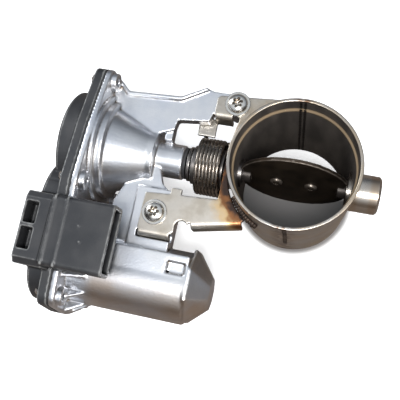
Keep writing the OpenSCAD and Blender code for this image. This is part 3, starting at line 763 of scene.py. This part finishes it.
def instance_tree(name: str) -> bpy.types.NodeTree:
    """Node tree that puts a copy of one object on each point of a mesh.

    Args:
        name: Name of the tree.

    Returns:
        The tree, with inputs for the copied object, its size, its uneven growth and its finish.
    """
    tree = bpy.data.node_groups.new(name, "GeometryNodeTree")
    face = tree.interface
    face.new_socket("Geometry", in_out="OUTPUT", socket_type="NodeSocketGeometry")
    face.new_socket("Places", in_out="INPUT", socket_type="NodeSocketGeometry")
    face.new_socket("Piece", in_out="INPUT", socket_type="NodeSocketObject")
    face.new_socket("Size", in_out="INPUT", socket_type="NodeSocketFloat").default_value = 1.0
    face.new_socket("Unevenness", in_out="INPUT", socket_type="NodeSocketFloat").default_value = 0.0
    face.new_socket("Seed", in_out="INPUT", socket_type="NodeSocketInt").default_value = 1
    face.new_socket("Finish", in_out="INPUT", socket_type="NodeSocketMaterial")
    graph = Graph(tree)
    given, result = graph.add("NodeGroupInput"), graph.add("NodeGroupOutput")
    source = graph.add("GeometryNodeObjectInfo")
    graph.feed(source.inputs["Object"], given.outputs["Piece"])
    turn = graph.add("GeometryNodeInputNamedAttribute", data_type="FLOAT_VECTOR")
    turn.inputs["Name"].default_value = "turn"
    stand = graph.add("FunctionNodeEulerToRotation")
    graph.feed(stand.inputs[0], turn.outputs["Attribute"])
    chance = graph.add("FunctionNodeRandomValue", data_type="FLOAT")
    low = graph.sum("SUBTRACT", given.outputs["Size"], given.outputs["Unevenness"])
    graph.feed(chance.inputs[2], low)
    graph.feed(chance.inputs[3], graph.sum("ADD", given.outputs["Size"], given.outputs["Unevenness"]))
    graph.feed(chance.inputs["Seed"], given.outputs["Seed"])
    put = graph.add("GeometryNodeInstanceOnPoints")
    graph.feed(put.inputs["Points"], given.outputs["Places"])
    graph.feed(put.inputs["Instance"], source.outputs["Geometry"])
    graph.feed(put.inputs["Rotation"], stand.outputs[0])
    graph.feed(put.inputs["Scale"], chance.outputs[1])
    real = graph.add("GeometryNodeRealizeInstances")
    graph.feed(real.inputs[0], put.outputs[0])
    paint = graph.add("GeometryNodeSetMaterial")
    graph.feed(paint.inputs["Geometry"], real.outputs[0])
    graph.feed(paint.inputs["Material"], given.outputs["Finish"])
    graph.feed(result.inputs[0], paint.outputs[0])
    return tree


INSTANCES = instance_tree("copies on points")


@dataclass(frozen=True)
class Row:
    """Copies of one mesh at several places."""

    name: str
    places: Sequence[Vector]
    turns: Sequence[Vector]
    unevenness: float = 0.0
    seed: int = 1

    def build(self, mesh: bpy.types.Mesh, finish: bpy.types.Material) -> bpy.types.Object:
        """Puts a copy of the mesh on every place.

        Args:
            mesh: The mesh that is copied, standing along Z.
            finish: Its material.

        Returns:
            One baked object.
        """
        source = as_object(self.name + "_source", mesh, 35.0)
        points = bpy.data.meshes.new(self.name)
        points.from_pydata([tuple(p) for p in self.places], [], [])
        turn = points.attributes.new("turn", "FLOAT_VECTOR", "POINT")
        for k, value in enumerate(self.turns):
            turn.data[k].vector = value
        piece = bpy.data.objects.new(self.name, points)
        bpy.context.scene.collection.objects.link(piece)
        maker = piece.modifiers.new("copies", "NODES")
        maker.node_group = INSTANCES
        sockets = {s.name: s.identifier for s in INSTANCES.interface.items_tree if s.in_out == "INPUT"}
        maker[sockets["Piece"]] = source
        maker[sockets["Unevenness"]] = self.unevenness
        maker[sockets["Seed"]] = self.seed
        maker[sockets["Finish"]] = finish
        bake(piece)
        bpy.data.objects.remove(source)
        return piece


# ---- Sub-assemblies -------------------------------------------------------------------


@dataclass
class ValveTube:
    """The tube: two rolled halves, their seams and the widened mouth."""

    lip_round: float = 0.5 * MM
    seam_gap: float = 0.03
    seam_turn: float = 1.9
    bead_pitch: float = 1.0 * MM
    bead_size: float = 1.2 * MM
    inner_lane: float = 2.1

    def half(self, name: str, first: float) -> bpy.types.Object:
        """One half of the wall, as a thin closed shell.

        Args:
            name: Name of the piece.
            first: Angle at which it starts, in degrees.

        Returns:
            The half.
        """
        step = 1.0 * MM
        bore = PLACES.bore
        neck = PLACES.bottom + PLACES.spigot_length
        outline = [
            (PLACES.bottom, bore), (PLACES.bottom, PLACES.spigot), (neck, PLACES.spigot),
            (neck + 0.5 * MM, PLACES.tube), (PLACES.step - step, PLACES.tube),
            (PLACES.step, PLACES.mouth), (0.0, PLACES.mouth), (0.0, PLACES.socket),
            (PLACES.step, PLACES.socket), (PLACES.step - step, bore),
        ]
        edge = first + self.seam_turn + self.seam_gap
        mesh = turned(
            rounded(outline, self.lip_round), Vector((0, 0, 0)), Axis.Z,
            (edge, edge + 180 - 2 * self.seam_gap), 72,
        )
        return as_object(name, mesh, 40.0)

    def seams(self, name: str, inner: bool, finish: bpy.types.Material) -> bpy.types.Object:
        """Rippled beads down both seams, outside or in a pair inside."""
        bm = bmesh.new()
        bmesh.ops.create_uvsphere(bm, u_segments=10, v_segments=7, radius=self.bead_size)
        bmesh.ops.scale(bm, vec=(0.28, 0.6 if inner else 1.0, 0.85), verts=bm.verts)
        places, turns = [], []
        lanes = (-self.inner_lane, self.inner_lane) if inner else (0.0,)
        for start in (90.0, 270.0):
            for lane in lanes:
                angle = math.radians(start + self.seam_turn + lane)
                base = PLACES.bottom if inner else PLACES.bottom + PLACES.spigot_length + MM
                for k in range(int(-base / self.bead_pitch) - 1):
                    z = base + (k + 1.2) * self.bead_pitch
                    wide = z > PLACES.step
                    if inner:
                        radius = (PLACES.socket if wide else PLACES.bore) + 0.1 * MM
                    else:
                        radius = (PLACES.mouth if wide else PLACES.tube) - 0.12 * MM
                    places.append(Vector((radius * math.cos(angle), radius * math.sin(angle), z)))
                    turns.append(Vector((0.0, 0.0, angle)))
        return Row(name, places, turns, 0.1, 3).build(finished(bm), finish)

    def build(self) -> None:
        """Builds the halves and the beads."""
        steel = TUBE_STEEL.material()
        halves = (("tube_left", "tube_shell_left", 90.0), ("tube_right", "tube_shell_right", 270.0))
        for name, node, first in halves:
            settle(dress(self.half(name, first), steel), "frame", "tube_steel", node)
        outer = self.seams("seam_beads", False, WELD_BEAD.material())
        settle(outer, "frame", "weld", "seam_welds")
        settle(self.seams("inner_seams", True, SOOTY_WELD.material()), "frame", "weld")


@dataclass
class Bracket:
    """The pressed bracket, the weld that holds it on the tube and its two screws."""

    fusing: Fusing = Fusing(0.36 * MM, 3, 90_000)
    bead_pitch: float = 1.3 * MM
    bead_size: float = 1.75 * MM
    arcs: tuple[tuple[float, float], ...] = ((93.0, 141.0), (211.0, 243.0))
    head: ScrewHead = ScrewHead(4.9 * MM, 3.3 * MM, 1.0 * MM, 2.5 * MM, 2.9 * MM, 10 * MM)

    def weld(self, finish: bpy.types.Material) -> bpy.types.Object:
        """Rippled fillet weld between the sheet and the tube."""
        bm = bmesh.new()
        bmesh.ops.create_uvsphere(bm, u_segments=14, v_segments=10, radius=self.bead_size)
        bmesh.ops.scale(bm, vec=(0.95, 0.62, 0.95), verts=bm.verts)
        _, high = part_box("bracket")
        radius = PLACES.tube + 0.9 * MM
        places, turns = [], []
        for first, last in self.arcs:
            count = int(math.radians(last - first) * radius / self.bead_pitch)
            for k in range(count + 1):
                angle = math.radians(first + (last - first) * k / count)
                places.append(Vector((radius * math.cos(angle), radius * math.sin(angle), high.z - 0.2 * MM)))
                turns.append(Vector((0.25, 0.0, angle)))
        return Row("bracket_bead", places, turns, 0.12, 5).build(finished(bm), finish)

    def screws(self, finish: bpy.types.Material) -> bpy.types.Object:
        """The two screws that hold the actuator."""
        low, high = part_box("bracket_screws")
        reach = self.head.radius * 1.25
        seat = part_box("bracket")[1].z
        places = [
            Vector((high.x - reach, high.y - reach, seat)),
            Vector((low.x + reach, low.y + reach, seat)),
        ]
        turns = [Vector((0, 0, 0.4)), Vector((0, 0, 0.1))]
        return Row("bracket_bolts", places, turns).build(self.head.mesh(), finish)

    def build(self) -> None:
        """Builds the sheet, the weld and the screws."""
        sheet = self.fusing.skin("bracket_sheet", [cad_copy("bracket")])
        settle(dress(sheet, SHEET_STEEL.material()), "frame", "bracket_steel", "bracket")
        settle(self.weld(WELD_BEAD.material()), "frame", "weld", "bracket_weld")
        settle(self.screws(ZINC_SCREW.material()), "frame", "screw_steel", "bracket_screws")


@dataclass
class ShaftLine:
    """Bush, cap, flap, hub and coupling spring on the valve's shaft."""

    edge: float = 0.5 * MM
    flap_screw: ScrewHead = ScrewHead(3.15 * MM, 1.9 * MM, 0.0, 1.35 * MM, 1.45 * MM, 3.4 * MM)
    spring_sides: int = 18
    spring_steps: int = 60
    spring_wire: float = 1.15 * MM
    spring_turns: int = 7
    open_lean: float = 8.0

    def turned_part(self, name: str, outline: Profile) -> bpy.types.Object:
        """Turned piece on the shaft's axis."""
        return as_object(name, turned(rounded(outline, self.edge), PLACES.shaft), 40.0)

    def cap(self) -> bpy.types.Object:
        """Bearing cap with a chamfered end and a weld collar on the tube."""
        low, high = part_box("bearing_cap")
        radius = (high.y - low.y) / 2
        seat = PLACES.tube - 1.6 * MM
        outline = [
            (low.x, radius - 3.4 * MM), (low.x, radius - 2.4 * MM), (seat - 1.8 * MM, radius - 2.4 * MM),
            (seat - 1.8 * MM, radius), (high.x - 1.1 * MM, radius), (high.x, radius - 1.1 * MM),
            (high.x, 2.6 * MM), (high.x - 0.5 * MM, 2.0 * MM), (high.x - 0.5 * MM, 0.0),
            (high.x - 2.6 * MM, 0.0), (high.x - 2.6 * MM, radius - 3.4 * MM),
        ]
        return as_object("cap", turned(outline, PLACES.shaft), 30.0)

    def bush(self) -> bpy.types.Object:
        """Bush welded into the tube's left side."""
        low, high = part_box("shaft_bush")
        _, shaft_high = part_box("valve_shaft")
        bore = shaft_high.y + 0.04 * MM
        radius = bore + 2.96 * MM
        outline = [
            (low.x, bore), (low.x, radius), (-PLACES.tube - 3.2 * MM, radius),
            (-PLACES.tube - 3.2 * MM, radius + 2 * MM), (-PLACES.tube + 1.5 * MM, radius + 2 * MM),
            (-PLACES.tube + 1.5 * MM, radius), (high.x, radius), (high.x, bore),
        ]
        return self.turned_part("bush", outline)

    def flap(self) -> bpy.types.Object:
        """The flap's plate with a softened rim."""
        fusing = Fusing(0.4 * MM, 2, 60_000)
        return fusing.skin("flap", [cad_copy("flap_plate")])

    def screws(self, finish: bpy.types.Material) -> bpy.types.Object:
        """The two screws that hold the flap on its shaft."""
        low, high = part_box("flap_screws")
        lean = math.radians(self.open_lean)
        half = 3.2 * MM
        out = Vector((0.0, -math.cos(lean), math.sin(lean)))
        face = PLACES.shaft + out * 1.0 * MM
        places = [face + Vector((x, 0.0, 0.0)) for x in (low.x + half, high.x - half)]
        turns = [Vector((math.pi / 2 - lean, 0.0, 0.0))] * 2
        return Row("flap_bolts", places, turns).build(self.flap_screw.mesh(), finish)

    def spring(self) -> bpy.types.Object:
        """Coupling spring with its upper leg, swept along one helix."""
        low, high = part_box("coupling_spring")
        wire = self.spring_wire
        mid = -low.z + PLACES.shaft.z - wire
        first, last = low.x + wire, high.x - wire
        legs = (high.y - wire * 0.4, mid + 3.2 * MM)
        path = [Vector((first, y, PLACES.shaft.z)) for y in legs]
        count = self.spring_turns * self.spring_steps
        for k in range(count + 1):
            angle = 2 * math.pi * k / self.spring_steps
            along = first + (last - first) * k / count
            path.append(Vector((along, mid * math.cos(angle), PLACES.shaft.z + mid * math.sin(angle))))
        return as_object("spring", swept(path, wire, self.spring_sides))

    def build(self) -> None:
        """Builds the pieces of the shaft line."""
        turned_steel, hub_steel = TURNED_STEEL.material(), HUB_STEEL.material()
        settle(dress(self.cap(), turned_steel), "frame", "turned_steel", "bearing_cap")
        settle(dress(self.bush(), hub_steel), "frame", "turned_steel", "shaft_bush")
        settle(dress(self.flap(), FLAP_STEEL.material()), "valve", "flap_steel", "flap_plate")
        settle(self.screws(FLAP_STEEL.material()), "valve", "screw_steel", "flap_screws")
        settle(dress(self.spring(), SPRING_WIRE.material()), "frame", "spring_steel", "coupling_spring")
        for node in ("driven_hub", "drive_disc"):
            part = Fusing(0.25 * MM, 2, 60_000).skin(node.replace("driven", "spring"), [cad_copy(node)])
            body = "valve" if node == "driven_hub" else "output"
            settle(dress(part, hub_steel), body, "turned_steel", node)
        ring = Fusing(0.2 * MM, 2, 30_000).skin("nose_seal", [cad_copy("nose_ring")])
        settle(dress(ring, BLACK_RUBBER.material()), "frame", "black_rubber", "nose_ring")


def swept(path: Sequence[Vector], radius: float, sides: int) -> bpy.types.Mesh:
    """Round wire along a path.

    Args:
        path: Points along the middle of the wire.
        radius: Radius of the wire.
        sides: Corners of its section.

    Returns:
        A closed mesh.
    """
    bm = bmesh.new()
    rings = []
    normal = Vector((1.0, 0.0, 0.0))
    for i, point in enumerate(path):
        way = (path[min(i + 1, len(path) - 1)] - path[max(i - 1, 0)]).normalized()
        normal = (normal - way * normal.dot(way)).normalized()
        side = way.cross(normal)
        rings.append([
            bm.verts.new(point + radius * (normal * math.cos(a) + side * math.sin(a)))
            for a in (2 * math.pi * k / sides for k in range(sides))
        ])
    for one, two in zip(rings, rings[1:]):
        for k in range(sides):
            n = (k + 1) % sides
            bm.faces.new((one[k], one[n], two[n], two[k]))
    bm.faces.new(rings[0])
    bm.faces.new(rings[-1])
    return finished(bm)


@dataclass
class Actuator:
    """Cast gear housing, gear cover and the cover's screws."""

    casting: Fusing = Fusing(0.52 * MM, 4, 190_000)
    moulding: Fusing = Fusing(0.46 * MM, 2, 190_000)
    head: ScrewHead = ScrewHead(3.4 * MM, 2.6 * MM, 0.0, 1.9 * MM, 1.85 * MM, 4 * MM)
    plug_rise: float = 6.5 * MM
    plug_half: float = 16.4 * MM
    plug_lines: tuple[float, float] = (-102.5 * MM, -96.5 * MM)
    gate_marks: tuple[tuple[float, float], ...] = ((-87 * MM, -3 * MM), (-89 * MM, 4 * MM))

    def housing(self) -> bpy.types.Object:
        """The casting with its ribs and soft edges."""
        return self.casting.skin("casting", [cad_copy("gear_housing")])

    def cover(self) -> bpy.types.Object:
        """The plastic cover with its plug socket, two raised lines across it and gate marks."""
        pins_low, pins_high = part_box("connector_pins")
        middle = (pins_low.y + pins_high.y) / 2
        top = (pins_low.z + pins_high.z) / 2 + self.plug_rise
        pieces = [cad_copy("gear_cover")]
        for x in self.plug_lines:
            low, high = middle - self.plug_half, middle + self.plug_half
            line = [(low, top - 2 * MM), (low, top + 0.3 * MM), (high, top + 0.3 * MM), (high, top - 2 * MM)]
            pieces.append(prism(line, sideways, x - 0.5 * MM, x + 0.5 * MM))
        for x, y in self.gate_marks:
            ring = [(x + 0.6 * MM * math.cos(a), middle + y + 0.6 * MM * math.sin(a))
                    for a in (2 * math.pi * k / 16 for k in range(16))]
            pieces.append(prism(ring, upright, top - MM, top + 0.2 * MM))
        return self.moulding.skin("cover", pieces)

    def screws(self, finish: bpy.types.Material) -> bpy.types.Object:
        """Screws of the cover, with their heads away from the tube."""
        solids = loose_boxes("cover_screws")
        places = [
            Vector((low.x + self.head.height, (low.y + high.y) / 2, (low.z + high.z) / 2))
            for low, high in solids
        ]
        turns = [Vector((0.0, -math.pi / 2, 0.3 * k)) for k in range(len(places))]
        return Row("cover_bolts", places, turns).build(self.head.mesh(), finish)

    def build(self) -> None:
        """Builds the housing, the cover and the screws."""
        settle(dress(self.housing(), CASTING.material()), "frame", "casting", "gear_housing")
        settle(dress(self.cover(), COVER_PLASTIC.material()), "frame", "cover_plastic", "gear_cover")
        settle(self.screws(ZINC_SCREW.material()), "frame", "screw_steel", "cover_screws")


def loose_boxes(node: str) -> list[tuple[Vector, Vector]]:
    """Boxes of the separate solids of a CAD node.

    Args:
        node: Name of the node.

    Returns:
        The lowest and highest corner of each solid.
    """
    mesh = cad_copy(node)
    parent = list(range(len(mesh.vertices)))

    def root(i: int) -> int:
        """Vertex that stands for the solid that a vertex belongs to."""
        while parent[i] != i:
            parent[i] = parent[parent[i]]
            i = parent[i]
        return i

    for edge in mesh.edges:
        parent[root(edge.vertices[0])] = root(edge.vertices[1])
    groups: dict[int, list[Vector]] = {}
    for vertex in mesh.vertices:
        groups.setdefault(root(vertex.index), []).append(vertex.co.copy())
    return [
        (Vector(map(min, zip(*points))), Vector(map(max, zip(*points))))
        for points in groups.values()
    ]


# ---- Studio ---------------------------------------------------------------------------


@dataclass(frozen=True)
class Camera:
    """Camera above the mouth of the tube, looking down on the whole part."""

    place: Vector
    aim: Vector
    roll: float
    lens: float

    def build(self) -> None:
        """Makes the camera and sets it as the scene's."""
        data = bpy.data.cameras.new("camera")
        data.lens = self.lens
        data.sensor_width = 36.0
        data.clip_start, data.clip_end = 0.01, 10.0
        camera = bpy.data.objects.new("camera", data)
        bpy.context.scene.collection.objects.link(camera)
        ahead = (self.aim - self.place).normalized()
        turn = math.radians(self.roll)
        right = ahead.cross(Vector((-math.sin(turn), math.cos(turn), 0.0))).normalized()
        up = right.cross(ahead)
        facing = Matrix((right, up, -ahead)).transposed().to_4x4()
        camera.matrix_world = Matrix.Translation(self.place) @ facing
        bpy.context.scene.camera = camera


@dataclass(frozen=True)
class Lamp:
    """One soft lamp."""

    name: str
    place: Vector
    aim: Vector
    size: float
    power: float
    colour: Colour = (1.0, 1.0, 1.0)

    def build(self) -> None:
        """Makes the lamp."""
        data = bpy.data.lights.new(self.name, "AREA")
        data.shape = "DISK"
        data.size = self.size
        data.energy = self.power
        data.color = self.colour
        lamp = bpy.data.objects.new(self.name, data)
        bpy.context.scene.collection.objects.link(lamp)
        lamp.location = self.place
        lamp.rotation_euler = (self.aim - self.place).to_track_quat("-Z", "Y").to_euler()


@dataclass
class Studio:
    """Floor, lamps and surroundings."""

    middle: Vector = Vector((-0.045, -0.02, -0.037))
    floor_reach: float = 8.0
    floor_glow: float = 0.5

    def floor(self) -> None:
        """Pale floor under the part."""
        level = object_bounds()[0].z - 0.02 * MM
        bm = bmesh.new()
        bmesh.ops.create_grid(bm, x_segments=2, y_segments=2, size=self.floor_reach)
        bmesh.ops.translate(bm, verts=bm.verts, vec=(0, 0, level))
        mesh = bpy.data.meshes.new("floor")
        bm.to_mesh(mesh)
        bm.free()
        floor = dress(as_object("floor", mesh), self.paper())
        floor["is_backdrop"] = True

    def paper(self) -> bpy.types.Material:
        """White paper that glows a little, with a painted shadow under the bore where it also glows less, and
        looks dull in reflections.
        """
        made = FLOOR.material()
        shader = made.node_tree.nodes["Principled BSDF"]
        graph = Graph(made.node_tree)
        seen = graph.add("ShaderNodeLightPath").outputs["Is Camera Ray"]
        x, y, _ = graph.split(graph.place())
        radius = graph.from_axis(x, y)
        # Painted shadow: inside a disc under the bore, on its near side, the paper is darker and glows less.
        under = graph.ramp(radius, PLACES.tube + 4 * MM, PLACES.tube)
        near = graph.ramp(y, 9 * MM, 2 * MM)
        shade = graph.sum("MULTIPLY", under, near)
        lit = graph.sum("SUBTRACT", 1.0, graph.sum("MULTIPLY", shade, 0.93))
        paper_with_painted_shadow = graph.mix(shade, (0.93, 0.93, 0.935), (0.2, 0.19, 0.185))
        graph.feed(shader.inputs["Base Color"], graph.mix(seen, (0.16, 0.13, 0.11), paper_with_painted_shadow))
        shader.inputs["Emission Color"].default_value = (1.0, 1.0, 1.0, 1.0)
        strength = graph.sum("MULTIPLY", graph.sum("MULTIPLY", seen, lit), self.floor_glow)
        graph.feed(shader.inputs["Emission Strength"], strength)
        return made

    def surroundings(self) -> None:
        """Bright sky with a warmer, darker horizon on the motor's side."""
        world = bpy.data.worlds.new("studio")
        bpy.context.scene.world = world
        world.use_nodes = True
        graph = Graph(world.node_tree)
        back = world.node_tree.nodes["Background"]
        way = graph.add("ShaderNodeTexCoord").outputs["Generated"]
        _, y, z = graph.split(way)
        low = graph.ramp(z, 0.92, 0.15)
        side = graph.ramp(y, 0.3, -0.7)
        horizon = graph.mix(side, (0.13, 0.15, 0.18), (0.14, 0.095, 0.06))
        seen = graph.add("ShaderNodeLightPath").outputs["Is Camera Ray"]
        glow = graph.mix(low, (0.8, 0.86, 0.93), horizon)
        graph.feed(back.inputs["Color"], graph.mix(seen, glow, (1.15, 1.15, 1.16)))
        back.inputs["Strength"].default_value = 0.8

    def build(self) -> None:
        """Builds the whole studio."""
        self.floor()
        self.surroundings()
        for lamp in (
            Lamp("key", self.middle + Vector((0.1, -0.25, 0.85)), self.middle, 0.22, 6.0),
            Lamp("side", self.middle + Vector((-0.7, 0.35, 0.5)), self.middle, 0.4, 3.0, (0.93, 0.96, 1.0)),
            Lamp("fill", self.middle + Vector((0.6, -0.3, 0.5)), self.middle, 0.5, 2.0, (1.0, 0.97, 0.93)),
        ):
            lamp.build()
        view = bpy.context.scene.view_settings
        view.view_transform = "Standard"
        view.exposure = 0.0


def dress_inner_nodes() -> None:
    """Gives every CAD node that stays its own finish."""
    for finish, nodes in DRESSED_NODES.items():
        made = finish.material()
        for node in nodes:
            dress(frame["nodes"][node], made)


def main() -> None:
    """Builds the throttle and its studio in order."""
    logging.basicConfig(level=logging.INFO, format="%(name)s: %(message)s")
    Camera(Vector((0.01095, -0.07092, 0.27427)), Vector((-0.0441, -0.0173, -0.037)), 11.96, 57.6).build()
    for assembly in (ValveTube(), Bracket(), ShaftLine(), Actuator()):
        assembly.build()
        LOG.info("built %s", type(assembly).__name__)
    dress_inner_nodes()
    Studio().build()


if __name__ == "__main__":
    main()
